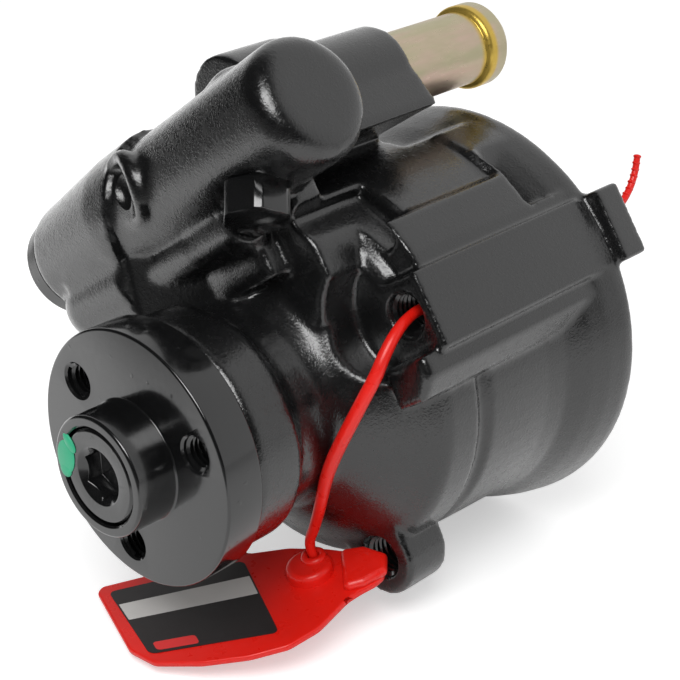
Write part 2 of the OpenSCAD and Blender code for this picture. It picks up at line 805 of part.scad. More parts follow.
module end_cover() {
    y_seal = y_cover + cover_t * 0.5;
    color(dark_steel) roll() turned(concat(
        [[0, y_cover], [disc_r - 1.2, y_cover], [disc_r, y_cover + 1.2]],
        groove(y_seal),
        [[disc_r, y_ring], [disc_r - 6, y_ring], [disc_r - 7.5, y_ring - 2], [14, y_ring - 2],
            [12.5, y_ring - 0.5], [5, y_ring - 0.5], [4, y_ring - 1.5], [0, y_ring - 1.5]]));
}

module cover_ring() {
    color(rubber) roll() oring(y_cover + cover_t * 0.5);
}

module retaining_ring() {
    inner = cavity_r - 3.2;
    outer = cavity_r + ring_groove - fit_gap;
    gap = 26;
    mouth = gap - 4;
    reach = 2 * cavity_r;
    color(dark_steel) roll() difference() {
        union() {
            turned([[inner, y_ring], [outer, y_ring], [outer, y_rim - fit_gap], [inner, y_rim - fit_gap]]);
            for (side = [-1, 1])
                rotate([0, 90 + side * gap, 0]) rod_y(3, y_ring, y_rim - fit_gap, inner);
        }
        rotate([0, 90, 0]) translate([0, y_ring - 1, 0]) along_y() linear_extrude(ring_t + 2)
            polygon([[0, 0], reach * [cos(mouth), sin(mouth)], reach * [cos(mouth), -sin(mouth)]]);
        for (side = [-1, 1])
            rotate([0, 90 + side * gap, 0]) rod_y(1.2, y_ring - 1, y_rim + 1, inner - 0.5);
    }
}

// Flow control valve
module outlet_union() {
    x0 = -valve_left - washer_t - union_collar;
    x1 = union_len - valve_left;
    hole_r = port_r - 3.2;
    edge = 0.8;
    color(dark_steel) roll() at_valve() difference() {
        along_x() rotate_extrude() polygon([[hole_r, x0 + 1], [union_collar_r - edge, x0],
            [union_collar_r, x0 + edge], [union_collar_r, -valve_left - washer_t],
            [union_r, -valve_left - washer_t], [union_r, x1 - 1], [union_r - 1, x1], [hole_r, x1]]);
        rod_x(port_r, x0 - 1, x0 + port_depth);
        translate([x0 - eps, 0, 0]) along_x() cylinder(r1 = port_r + 1, r2 = port_r, h = 1);
    }
}

module union_washer() {
    color(bronze) roll() at_valve() difference() {
        rod_x(washer_r, -valve_left - washer_t, -valve_left);
        rod_x(union_r, -valve_left - washer_t - 1, 1 - valve_left);
    }
}

// Relief parts inside the spool, counted from the spool's spring end
relief_r = 3.4;
relief_depth = 18;
seat_len = 4;
ball_r = 2.4;
ball_play = 0.3;
seat_edge = 1.9;
ball_x = spool_right - seat_len - sqrt(ball_r * ball_r - seat_edge * seat_edge) - ball_play;
relief_wire_r = 0.4;
relief_floor = spool_right - relief_depth;

module flow_spool() {
    groove_r = spool_r - 1.6;
    color(steel) roll() at_valve() along_x() rotate_extrude()
        polygon([[0, spool_left], [spool_r - 3, spool_left], [spool_r - 2.6, spool_left + 2],
            [spool_r, spool_left + 2.4], [spool_r, spool_left + 11], [groove_r, spool_left + 11.5],
            [groove_r, spool_left + 17], [spool_r, spool_left + 17.5], [spool_r, spool_right - 0.5],
            [spool_r - 0.5, spool_right], [relief_r, spool_right], [relief_r, relief_floor],
            [0, relief_floor]]);
}

module flow_spring() {
    color(steel) roll() at_valve()
        tube(coil(spool_right + flow_wire_r, valve_floor - flow_wire_r, spool_r - flow_wire_r - 0.5, 8, 16),
            flow_wire_r, 6, [1, 0, 0]);
}

module relief_seat() {
    color(bronze) roll() at_valve() along_x() rotate_extrude()
        polygon([[1.2, spool_right], [relief_r, spool_right], [relief_r, spool_right - seat_len],
            [seat_edge, spool_right - seat_len], [1.2, spool_right - seat_len + 1.6]]);
}

module relief_ball() {
    color(steel) roll() at_valve() translate([ball_x, 0, 0]) sphere(ball_r);
}

module relief_spring() {
    color(steel) roll() at_valve()
        tube(coil(relief_floor + relief_wire_r, ball_x - ball_r - relief_wire_r, relief_r - 0.9, 5, 14),
            relief_wire_r, 6, [1, 0, 0]);
}

module cross_plug() {
    color(paint) roll() plug_axis() {
        translate([0, 0, plug_seat]) cylinder(d = plug_af / cos(30), h = plug_h, $fn = 6);
        translate([0, 0, valve_bore_r + 0.4]) cylinder(r = plug_r, h = plug_seat - valve_bore_r);
    }
}

// Suction pipe with its hose bead
module suction_pipe() {
    y0 = y_suction - pipe_in;
    y1 = y_suction + pipe_out;
    bead_end = y1 - bead_set;
    bead_start = bead_end - bead_len;
    inner = pipe_r - pipe_wall;
    color(zinc) roll() translate([suction_x, 0, suction_z]) turned(concat(
        [[inner, y0], [pipe_r, y0], [pipe_r, bead_start]],
        arc(pipe_r, bead_start + bead_h, bead_h, -90, 0),
        arc(pipe_r, bead_end - bead_h, bead_h, 0, 90),
        [[pipe_r, y1 - 0.4], [pipe_r - 0.4, y1], [inner, y1]]));
}

// Seal: a flag with a neck and a lock chamber, hung below the hub
seal_pos = [16.7, 37.7, -41];
seal_turn = [-5.4, 11.7, 225.4];
flag_points = [[51, -10], [52, -8], [43, 15], [40, 18], [37, 21], [26, 24], [15, 25], [6, 24], [-1, 20],
    [-8, 12], [-11, 10], [-15, 8], [-17, 6], [-17.5, 2], [-15.5, -1.5], [-12.5, -4.5], [-10, -5],
    [-4, -8], [5, -11], [16, -12], [39, -11]];
label_points = [[49, -7], [16, -9], [8, 19], [38, 18]];

module seal_frame() {
    translate(seal_pos) rotate(seal_turn) children();
}

module seal_tag() {
    color(red) seal_frame() {
        linear_extrude(flag_t) polygon(flag_points);
        cylinder(r = lock_r, h = flag_t + lock_h);
    }
}

module seal_label() {
    color(rubber) seal_frame() translate([0, 0, flag_t]) linear_extrude(label_t) polygon(label_points);
}

// Place of a point of the seal in the pump's frame
function turn_x(v, a) = [v.x, v.y * cos(a) - v.z * sin(a), v.y * sin(a) + v.z * cos(a)];
function turn_y(v, a) = [v.x * cos(a) + v.z * sin(a), v.y, v.z * cos(a) - v.x * sin(a)];
function turn_z(v, a) = [v.x * cos(a) - v.y * sin(a), v.x * sin(a) + v.y * cos(a), v.z];
function seal_point(v) = seal_pos + turn_z(turn_y(turn_x(v, seal_turn.x), seal_turn.y), seal_turn.z);

// Route of the strap from the lock chamber, up through the long ear and out behind
strap_foot = [-1.4, -1.9, flag_t + lock_h];
strap_route = [seal_point(strap_foot), seal_point(strap_foot + [0, 0, 4]), [17.6, 37.8, -26.5],
    [20.5, 36.4, -20], [22.5, 35.5, -14.5], [24.5, 34.8, -9], [26.8, 34.5, -3.5], [29.2, 34.8, 2],
    [31.5, 35.6, 7.5], [33.5, 37, 13], [34.8, 39.2, 18], [35, 42, 22.5], [34.6, 46, 26], [33.9, 51, 27.8],
    [33.5, 57, 28.2], [33.4, 64, 28.2], [33.4, 71, 28.2], [33.4, 78, 28.2], [33.4, 85, 28.2],
    [33.4, 92, 28.2], [33.4, 99, 28.2], [33.4, 106, 28.2], [33.4, 113, 28.2], [33.4, 119, 28.3],
    [33.4, 124, 29], [33.3, 128.6, 30.7], [33, 132.6, 33.4], [32.5, 135.4, 37], [32, 136.8, 41]];

module seal_strap() {
    color(red) tube(strap_route, strap_r, 8, [1, 0, 0]);
}

housing();
pulley_hub();
hub_screw();
drive_shaft();
shaft_seal();
front_bush();
thrust_plate();
cam_ring();
rotor();
vanes();
rotor_clip();
pressure_plate();
pressure_plate_ring();
plate_spring();
end_cover();
cover_ring();
retaining_ring();
dowel_pins();
outlet_union();
union_washer();
flow_spool();
flow_spring();
relief_seat();
relief_ball();
relief_spring();
cross_plug();
suction_pipe();
seal_tag();
seal_label();
seal_strap();
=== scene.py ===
"""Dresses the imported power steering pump: cast housing, hub, valve fittings, pipe, seal and stage."""

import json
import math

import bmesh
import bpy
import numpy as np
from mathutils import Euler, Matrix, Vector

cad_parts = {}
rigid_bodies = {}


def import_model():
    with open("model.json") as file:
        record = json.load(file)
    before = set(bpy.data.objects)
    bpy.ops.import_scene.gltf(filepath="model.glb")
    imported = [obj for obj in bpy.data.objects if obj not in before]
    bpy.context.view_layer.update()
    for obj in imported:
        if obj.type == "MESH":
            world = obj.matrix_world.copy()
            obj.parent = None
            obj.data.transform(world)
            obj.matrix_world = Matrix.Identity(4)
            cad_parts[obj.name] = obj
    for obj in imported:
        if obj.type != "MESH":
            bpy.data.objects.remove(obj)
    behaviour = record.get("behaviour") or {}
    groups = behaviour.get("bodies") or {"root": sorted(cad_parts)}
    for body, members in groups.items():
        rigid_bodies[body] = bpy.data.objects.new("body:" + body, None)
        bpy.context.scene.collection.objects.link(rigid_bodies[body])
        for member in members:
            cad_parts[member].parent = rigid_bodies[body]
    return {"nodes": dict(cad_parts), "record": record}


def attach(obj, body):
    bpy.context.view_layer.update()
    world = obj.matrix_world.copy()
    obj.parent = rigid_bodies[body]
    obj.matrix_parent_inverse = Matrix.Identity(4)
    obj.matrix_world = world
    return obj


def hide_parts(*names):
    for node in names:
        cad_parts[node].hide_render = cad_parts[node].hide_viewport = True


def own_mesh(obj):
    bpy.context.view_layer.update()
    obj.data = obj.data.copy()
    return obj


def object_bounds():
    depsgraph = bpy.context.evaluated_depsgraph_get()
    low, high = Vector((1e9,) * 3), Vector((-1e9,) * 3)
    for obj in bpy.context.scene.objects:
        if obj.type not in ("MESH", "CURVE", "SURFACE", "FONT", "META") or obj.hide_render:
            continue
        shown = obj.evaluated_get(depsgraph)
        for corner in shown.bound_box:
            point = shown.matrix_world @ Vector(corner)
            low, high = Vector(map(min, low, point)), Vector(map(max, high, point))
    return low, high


bl_info = {
    "name": "Power steering pump",
    "version": (1, 0, 0),
    "blender": (4, 5, 0),
    "location": "View3D > Sidebar > Pump",
    "description": "Dresses the packed pump with its cast, turned, plated and moulded finishes",
    "category": "Object",
}

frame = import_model()
CAD_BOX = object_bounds()
NODES = frame["nodes"]
MM = 0.001

# Frames that the pump's pieces are drawn in, taken from the solids' own sizes
PUMP_ROLL = Matrix.Rotation(math.radians(-34.6), 4, "Y")
VALVE_PIVOT = Vector((58, 40, 54)) * MM
VALVE_FRAME = (PUMP_ROLL @ Matrix.Translation(VALVE_PIVOT) @ Matrix.Rotation(math.radians(-2.5), 4, "Y")
               @ Matrix.Translation((-VALVE_PIVOT.x, 0, 0)))
PLUG_FRAME = VALVE_FRAME @ Matrix.Translation((35 * MM, 0, 0)) @ Matrix.Rotation(math.radians(149), 4, "X")
SEAL_TURN = Euler([math.radians(a) for a in (-5.4, 11.7, 225.4)], "XYZ")
SEAL_FRAME = Matrix.Translation(Vector((16.7, 37.7, -41)) * MM) @ SEAL_TURN.to_matrix().to_4x4()
STRAP_FOOT = Vector((-1.4, -1.9, 4.6)) * MM
LONG_EAR = PUMP_ROLL @ Matrix.Translation(Vector((43.5, 50, 4.2)) * MM)
LOWER_EAR = PUMP_ROLL @ Matrix.Translation(Vector((1.5, 50, -45.5)) * MM)
PIPE_FRAME = PUMP_ROLL @ Matrix.Translation(Vector((31, 0, 57.5)) * MM)


# Sizes and colours that a user would change
def length(name, default, description):
    return bpy.props.FloatProperty(name=name, description=description, default=default * MM,
                                   unit="LENGTH", precision=5)


def colour(name, default, description):
    return bpy.props.FloatVectorProperty(name=name, description=description, default=default,
                                         subtype="COLOR", size=3, min=0, max=1)


class PumpCasting(bpy.types.PropertyGroup):
    voxel: length("Cast skin", 0.72, "Size of the grid that the casting's skin is made on")
    edge_rounds: bpy.props.IntProperty(name="Edge rounding", default=4, min=0,
                                       description="Smoothing steps over the whole casting")
    fillet_rounds: bpy.props.IntProperty(name="Tower fillets", default=34, min=0,
                                         description="Further smoothing steps on the tower and its webs")
    triangles: bpy.props.IntProperty(name="Skin triangles", default=170000, min=1000,
                                     description="Triangles that the casting's skin is thinned to")
    grain: length("Cast grain", 0.55, "Size of the grain in the casting's skin")
    grain_depth: length("Grain depth", 0.024, "Depth of the grain under the paint")


class PumpThreads(bpy.types.PropertyGroup):
    hub_major: length("Pulley hole thread", 4, "Major radius of the pulley holes' thread")
    hub_minor: length("Pulley hole wall", 3.32, "Minor radius of the pulley holes' thread")
    hub_pitch: length("Pulley hole pitch", 1.25, "Pitch of the pulley holes' thread")
    ear_major: length("Ear thread", 5, "Major radius of the ears' thread")
    ear_minor: length("Ear wall", 4.25, "Minor radius of the ears' thread")
    ear_pitch: length("Ear pitch", 1.5, "Pitch of the ears' thread")


class PumpColours(bpy.types.PropertyGroup):
    paint: colour("Paint", (0.0045, 0.0046, 0.0048), "Black paint on the casting and the hub")
    zinc_pink: colour("Plating, pink", (0.66, 0.5, 0.4), "Rosy part of the yellow zinc plating")
    zinc_olive: colour("Plating, olive", (0.55, 0.5, 0.33), "Greenish part of the yellow zinc plating")
    zinc_gold: colour("Plating, gold", (0.72, 0.5, 0.1), "Thick plating at the hose bead's foot")
    seal: colour("Seal", (0.78, 0.012, 0.006), "Red moulded plastic of the seal")
    label: colour("Label", (0.022, 0.018, 0.018), "Dark field of the seal's label")
    strip: colour("Label strip", (0.62, 0.6, 0.58), "Pale bare strip across the label")
    label_red: colour("Label field", (0.7, 0.03, 0.03), "Small bare red field on the label")
    dab: colour("Check mark", (0.03, 0.42, 0.22), "Dab of green paint on the hub's nose")


class PumpStage(bpy.types.PropertyGroup):
    lens: bpy.props.FloatProperty(name="Lens", default=95.29, description="Focal length on a 36 mm sensor",
                                  unit="CAMERA")
    eye: bpy.props.FloatVectorProperty(name="Camera", default=(0.2649, -0.21438, 0.19536), size=3,
                                       description="Place of the camera", subtype="TRANSLATION")
    azimuth: bpy.props.FloatProperty(name="Azimuth", default=math.radians(43.495), subtype="ANGLE",
                                     description="Turn of the camera from the hub's side")
    elevation: bpy.props.FloatProperty(name="Elevation", default=math.radians(26.227), subtype="ANGLE",
                                       description="Camera's angle over the horizon")


# Mesh helpers
def new_piece(name, mesh, body, slot, *materials):
    piece = bpy.data.objects.new(name, mesh)
    bpy.context.scene.collection.objects.link(piece)
    for material in materials:
        mesh.materials.append(material)
    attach(piece, body)
    return piece


def finished(bm, name, place=None, angle=35):
    """Mesh from a bmesh, merged, outward and put in its place, with edges sharper than the angle kept."""
    bmesh.ops.remove_doubles(bm, verts=bm.verts, dist=1e-7)
    bmesh.ops.recalc_face_normals(bm, faces=bm.faces)
    mesh = bpy.data.meshes.new(name)
    bm.to_mesh(mesh)
    bm.free()
    if place is not None:
        mesh.transform(place)
    for polygon in mesh.polygons:
        polygon.use_smooth = True
    mesh.set_sharp_from_angle(angle=math.radians(angle))
    return mesh


def node_copy(node):
    """Merged copy of a solid's mesh as a bmesh."""
    bm = bmesh.new()
    bm.from_mesh(NODES[node].data)
    bmesh.ops.remove_doubles(bm, verts=bm.verts, dist=2e-6)
    return bm


def apply_modifiers(piece):
    graph = bpy.context.evaluated_depsgraph_get()
    graph.update()
    mesh = bpy.data.meshes.new_from_object(piece.evaluated_get(graph))
    piece.modifiers.clear()
    old = piece.data
    piece.data = mesh
    bpy.data.meshes.remove(old)


def helper(name, mesh):
    """Object that only shapes another one and is removed afterwards."""
    tool = bpy.data.objects.new(name, mesh)
    bpy.context.scene.collection.objects.link(tool)
    return tool


def cut(piece, tool):
    modifier = piece.modifiers.new("cut", "BOOLEAN")
    modifier.operation = "DIFFERENCE"
    modifier.solver = "EXACT"
    modifier.object = tool
    apply_modifiers(piece)
    bpy.data.objects.remove(tool)


def bevel(bm, edges, width, segments):
    bmesh.ops.bevel(bm, geom=edges, offset=width, offset_type="OFFSET", affect="EDGES", segments=segments,
                    profile=0.5, material=-1)


def fade(values, start, width):
    """Share that grows from 0 at the start to 1 a width further on."""
    return np.clip((values - start) / width, 0, 1)


def turned(profile, steps=128):
    """Solid of revolution round Y from a closed profile of radius and station, in millimetres."""
    bm = bmesh.new()
    verts = [bm.verts.new((r * MM, y * MM, 0)) for r, y in profile]
    edges = [bm.edges.new(pair) for pair in zip(verts, verts[1:] + verts[:1])]
    bmesh.ops.spin(bm, geom=verts + edges, cent=(0, 0, 0), axis=(0, 1, 0), angle=math.tau, steps=steps,
                   use_merge=True)
    return bm


def arc(cx, cy, r, start, end, count=6):
    """Points of a round stretch of a profile, with its angles in degrees."""
    angles = [math.radians(start + (end - start) * i / count) for i in range(count + 1)]
    return [(cx + r * math.cos(a), cy + r * math.sin(a)) for a in angles]


def thread(minor, major, pitch, depth, start):
    """Helical ridge of an inner thread round Y, from start along +Y."""
    per_turn = 40
    root = major + 0.03 * MM
    flank = 0.47 * pitch
    crest = 0.1 * pitch
    bm = bmesh.new()
    section = ((root, -flank), (minor, -crest), (minor, crest), (root, flank))
    verts = [bm.verts.new((r, start + flank + y, 0)) for r, y in section]
    edges = [bm.edges.new(pair) for pair in zip(verts, verts[1:] + verts[:1])]
    turns = (depth - 2 * flank) / pitch
    steps = int(turns * per_turn)
    bmesh.ops.spin(bm, geom=verts + edges, cent=(0, 0, 0), axis=(0, 1, 0),
                   dvec=(0, pitch / per_turn, 0), angle=math.tau * steps / per_turn, steps=steps)
    ends = [e for e in bm.edges if e.is_boundary]
    bmesh.ops.holes_fill(bm, edges=ends, sides=0)
    return bm


def drill(radius, mouth, depth, place):
    """Cutter for a hole along +Y with a countersunk mouth."""
    chamfer, out = 0.7 * MM, 3 * MM
    lead, end = radius + chamfer, mouth + depth
    points = ((0, -out), (lead, -out), (lead, mouth), (radius, mouth + chamfer), (radius, end), (0, end))
    return helper("drill", finished(turned([(r / MM, y / MM) for r, y in points], 64), "drill", place))


# Materials
def put(tree, kind, inputs=None, **settings):
    node = tree.nodes.new(kind)
    for key, value in settings.items():
        setattr(node, key, value)
    for key, value in (inputs or {}).items():
        if isinstance(value, bpy.types.NodeSocket):
            tree.links.new(value, node.inputs[key])
        else:
            node.inputs[key].default_value = value
    return node


def new_material(name, **sockets):
    material = bpy.data.materials.new(name)
    material.use_nodes = True
    bsdf = material.node_tree.nodes["Principled BSDF"]
    for socket, value in sockets.items():
        bsdf.inputs[socket.replace("_", " ")].default_value = value
    return material, material.node_tree, bsdf


def opaque(rgb):
    return (*rgb, 1)


def noise(tree, place, size, detail=2.0, roughness=0.5):
    return put(tree, "ShaderNodeTexNoise", {"Vector": place, "Scale": 1 / size, "Detail": detail,
                                            "Roughness": roughness}).outputs["Fac"]


def ramp(tree, value, low, high, out_low, out_high):
    return put(tree, "ShaderNodeMapRange", {"Value": value, "From Min": low, "From Max": high,
                                            "To Min": out_low, "To Max": out_high}).outputs["Result"]


def blend_colours(tree, factor, a, b):
    node = put(tree, "ShaderNodeMix", data_type="RGBA")
    tree.links.new(factor, node.inputs["Factor"])
    for socket, value in ((node.inputs[6], a), (node.inputs[7], b)):
        if isinstance(value, bpy.types.NodeSocket):
            tree.links.new(value, socket)
        else:
            socket.default_value = opaque(value)
    return node.outputs[2]


def bump(tree, bsdf, height, depth, strength=1.0):
    node = put(tree, "ShaderNodeBump", {"Height": height, "Distance": depth, "Strength": strength})
    tree.links.new(node.outputs["Normal"], bsdf.inputs["Normal"])
    return node


def combine(tree, a, b, operation="ADD"):
    return put(tree, "ShaderNodeMath", {0: a, 1: b}, operation=operation).outputs[0]


def cast_paint(casting, colours):
    material, tree, bsdf = new_material("cast_paint", IOR=1.62, Coat_Weight=0.6, Coat_Roughness=0.1)
    place = put(tree, "ShaderNodeTexCoord").outputs["Object"]
    fine = ramp(tree, noise(tree, place, casting.grain, 2.0, 0.6), 0.46, 0.7, 0.0, 1.0)
    broad = noise(tree, place, casting.grain * 3.5, 2.0)
    drift = noise(tree, place, casting.grain * 50, 2.0)
    height = combine(tree, fine, combine(tree, broad, 1.2, "MULTIPLY"))
    skin = bump(tree, bsdf, height, casting.grain_depth)
    tree.links.new(skin.outputs["Normal"], bsdf.inputs["Coat Normal"])
    tone = ramp(tree, drift, 0.3, 0.7, 0.0, 1.0)
    dark = [c * 0.75 for c in colours.paint]
    light = [c * 1.35 for c in colours.paint]
    tree.links.new(blend_colours(tree, tone, dark, light), bsdf.inputs["Base Color"])
    tree.links.new(ramp(tree, broad, 0.3, 0.7, 0.2, 0.3), bsdf.inputs["Roughness"])
    return material


def turned_paint(colours):
    material, tree, bsdf = new_material("turned_paint", IOR=1.62, Coat_Weight=0.5, Coat_Roughness=0.07)
    place = put(tree, "ShaderNodeTexCoord").outputs["Object"]
    peel = noise(tree, place, 1.6 * MM, 2.0)
    specks = noise(tree, place, 2.4 * MM, 1.0)
    bump(tree, bsdf, combine(tree, peel, ramp(tree, specks, 0.72, 0.76, 0.0, 6.0)), 0.008 * MM)
    tone = ramp(tree, noise(tree, place, 14 * MM), 0.3, 0.7, 0.0, 1.0)
    dark = [c * 0.8 for c in colours.paint]
    light = [c * 1.3 for c in colours.paint]
    tree.links.new(blend_colours(tree, tone, dark, light), bsdf.inputs["Base Color"])
    tree.links.new(ramp(tree, peel, 0.3, 0.7, 0.12, 0.2), bsdf.inputs["Roughness"])
    return material


def plated_zinc(colours):
    material, tree, bsdf = new_material("plated_zinc", Metallic=0.85)
    place = put(tree, "ShaderNodeTexCoord").outputs["Object"]
    along = put(tree, "ShaderNodeSeparateXYZ", {"Vector": place}).outputs["Y"]
    stretched = put(tree, "ShaderNodeMapping", {"Vector": place, "Scale": (1, 0.22, 1)}).outputs["Vector"]
    cloud = noise(tree, stretched, 5 * MM, 3.0)
    hue = ramp(tree, cloud, 0.38, 0.62, 0.0, 1.0)
    skin = blend_colours(tree, hue, colours.zinc_pink, colours.zinc_olive)
    # Gilt foot of the hose bead, and the paler end past it
    foot = combine(tree, ramp(tree, along, 112.5 * MM, 114 * MM, 0.0, 1.0),
               ramp(tree, along, 116.5 * MM, 117.5 * MM, 1.0, 0.0), "MULTIPLY")
    gilt = blend_colours(tree, foot, skin, colours.zinc_gold)
    end = ramp(tree, along, 117 * MM, 119 * MM, 0.0, 0.75)
    tree.links.new(blend_colours(tree, end, gilt, colours.zinc_olive), bsdf.inputs["Base Color"])
    scratches = noise(tree, stretched, 0.7 * MM, 3.0)
    tree.links.new(ramp(tree, scratches, 0.3, 0.7, 0.26, 0.42), bsdf.inputs["Roughness"])
    bump(tree, bsdf, scratches, 0.02 * MM)
    return material


def metal(name, rgb, low, high, grain, metallic=1.0):
    """Metal finish whose roughness and tone drift with a fine grain."""
    material, tree, bsdf = new_material(name, Metallic=metallic)
    place = put(tree, "ShaderNodeTexCoord").outputs["Object"]
    fine = noise(tree, place, grain, 3.0)
    drift = noise(tree, place, grain * 12)
    tone = ramp(tree, drift, 0.3, 0.7, 0.0, 1.0)
    dark = [c * 0.8 for c in rgb]
    tree.links.new(blend_colours(tree, tone, dark, rgb), bsdf.inputs["Base Color"])
    tree.links.new(ramp(tree, fine, 0.3, 0.7, low, high), bsdf.inputs["Roughness"])
    bump(tree, bsdf, fine, 0.02 * MM)
    return material


def moulded(name, rgb, low, high, depth=0.03):
    """Moulded plastic or rubber with a faint skin texture."""
    material, tree, bsdf = new_material(name, IOR=1.5)
    place = put(tree, "ShaderNodeTexCoord").outputs["Object"]
    skin = noise(tree, place, 2.6 * MM, 1.0)
    drift = noise(tree, place, 14 * MM)
    tone = ramp(tree, drift, 0.3, 0.7, 0.0, 1.0)
    dark = [c * 0.88 for c in rgb]
    tree.links.new(blend_colours(tree, tone, dark, rgb), bsdf.inputs["Base Color"])
    tree.links.new(ramp(tree, skin, 0.3, 0.7, low, high), bsdf.inputs["Roughness"])
    bump(tree, bsdf, skin, depth * MM)
    return material


def finish(name):
    """Material of that name, made the first time it is asked for."""
    if name in bpy.data.materials:
        return bpy.data.materials[name]
    scene = bpy.context.scene
    colours = scene.pump_colours
    makers = {
        "cast_paint": lambda: cast_paint(scene.pump_casting, colours),
        "turned_paint": lambda: turned_paint(colours),
        "plated_zinc": lambda: plated_zinc(colours),
        "ground_steel": lambda: metal("ground_steel", (0.6, 0.61, 0.62), 0.2, 0.34, 0.7 * MM),
        "oiled_steel": lambda: metal("oiled_steel", (0.22, 0.225, 0.23), 0.28, 0.42, 0.9 * MM),
        "plain_bronze": lambda: metal("plain_bronze", (0.6, 0.4, 0.2), 0.3, 0.45, 0.8 * MM),
        "seal_red": lambda: moulded("seal_red", colours.seal, 0.26, 0.36),
        "rubber": lambda: moulded("rubber", (0.02, 0.02, 0.022), 0.55, 0.7),
        "label_dark": lambda: moulded("label_dark", colours.label, 0.3, 0.4, 0.01),
        "label_red": lambda: moulded("label_red", colours.label_red, 0.35, 0.45, 0.01),
        "label_strip": lambda: moulded("label_strip", colours.strip, 0.35, 0.45, 0.01),
        "green_dab": lambda: moulded("green_dab", colours.dab, 0.3, 0.45, 0.06),
    }
    return makers[name]()


def dress(node, name):
    """Gives a solid that stays on show its finish."""
    piece = NODES[node]
    piece.data.materials.clear()
    piece.data.materials.append(finish(name))


# Operators
class PUMP_OT_stage(bpy.types.Operator):
    """Camera at the photograph's angle, soft studio light and a pale floor"""
    bl_idname = "pump.stage"
    bl_label = "Stage"

    def execute(self, context):
        stage = context.scene.pump_stage
        self.camera(context, stage)
        self.floor(context)
        self.world(context)
        low, high = CAD_BOX
        middle = (low + high) / 2
        self.lamp(context, "camera_box", middle + Vector((0.26, -0.36, 0.5)), middle,
                  width=0.42, height=0.3, power=2.8)
        return {"FINISHED"}

    def camera(self, context, stage):
        data = bpy.data.cameras.new("camera")
        data.sensor_width = 36
        data.lens = stage.lens
        data.clip_start = 0.01
        camera = bpy.data.objects.new("camera", data)
        level = math.cos(stage.elevation)
        back = Vector((math.sin(stage.azimuth) * level, -math.cos(stage.azimuth) * level,
                       math.sin(stage.elevation)))
        camera.rotation_mode = "QUATERNION"
        camera.rotation_quaternion = (-back).to_track_quat("-Z", "Y")
        camera.location = stage.eye
        context.scene.collection.objects.link(camera)
        context.scene.camera = camera
        context.scene.view_settings.view_transform = "Standard"

    def lamp(self, context, name, place, target, width, height, power):
        data = bpy.data.lights.new(name, "AREA")
        data.shape = "RECTANGLE"
        data.size = width
        data.size_y = height
        data.energy = power
        lamp = bpy.data.objects.new(name, data)
        lamp.location = place
        lamp.rotation_mode = "QUATERNION"
        lamp.rotation_quaternion = (target - place).to_track_quat("-Z", "Y")
        context.scene.collection.objects.link(lamp)

    def floor(self, context):
        gap = 1.5 * MM
        bm = bmesh.new()
        bmesh.ops.create_circle(bm, cap_ends=True, segments=64, radius=6)
        bmesh.ops.translate(bm, verts=bm.verts, vec=(0, 0, CAD_BOX[0].z - gap))
        floor = bpy.data.objects.new("floor", finished(bm, "floor"))
        context.scene.collection.objects.link(floor)
        material, tree, bsdf = new_material("floor_white", Roughness=0.9, Specular_IOR_Level=0.0)
        path = put(tree, "ShaderNodeLightPath").outputs
        place = put(tree, "ShaderNodeTexCoord").outputs["Object"]
        spot = put(tree, "ShaderNodeSeparateXYZ", {"Vector": place}).outputs
        # Gloss mirrors a floor with painted shade in front of the pump and painted light glowing on its
        # left, near the pump
        near = ramp(tree, spot["Y"], -0.17, -0.11, 0.1, 1.0)
        left = combine(tree, near, ramp(tree, spot["X"], -0.2, 0.0, 0.6, 0.05), "MULTIPLY")
        mirrored = combine(tree, path["Is Glossy Ray"], left, "MULTIPLY")
        dim = combine(tree, path["Is Glossy Ray"], combine(tree, 1.0, near, "SUBTRACT"), "MULTIPLY")
        # Painted shade: seen in reflections, the floor far in front of the pump turns dark
        shade = blend_colours(tree, dim, (0.86, 0.86, 0.86), (0.05, 0.05, 0.05))
        tree.links.new(shade, bsdf.inputs["Base Color"])
        seen = combine(tree, path["Is Camera Ray"], path["Is Transmission Ray"], "MAXIMUM")
        # Painted light: seen in reflections, the floor near the pump glows, most on its left
        glow = combine(tree, combine(tree, seen, 0.45, "MULTIPLY"), mirrored, "MAXIMUM")
        tree.links.new(glow, bsdf.inputs["Emission Strength"])
        bsdf.inputs["Emission Color"].default_value = (1, 1, 1, 1)
        floor.data.materials.append(material)

    def world(self, context):
        world = bpy.data.worlds.new("studio")
        context.scene.world = world
        world.use_nodes = True
        tree = world.node_tree
        path = put(tree, "ShaderNodeLightPath").outputs
        away = put(tree, "ShaderNodeTexCoord").outputs["Generated"]
        heading = put(tree, "ShaderNodeSeparateXYZ", {"Vector": away}).outputs
        # Gloss mirrors a dark room with a bright wall behind the pump
        mirrored = ramp(tree, heading["Y"], 0.05, 0.4, 0.02, 0.75)
        clear = combine(tree, path["Is Camera Ray"], path["Is Transmission Ray"], "MAXIMUM")
        shown = put(tree, "ShaderNodeMix", {"Factor": path["Is Glossy Ray"], "A": 0.6, "B": mirrored})
        strength = put(tree, "ShaderNodeMix", {"Factor": clear, "A": shown.outputs["Result"], "B": 1.0})
        background = tree.nodes["Background"]
        background.inputs["Color"].default_value = (1, 1, 1, 1)
        tree.links.new(strength.outputs["Result"], background.inputs["Strength"])


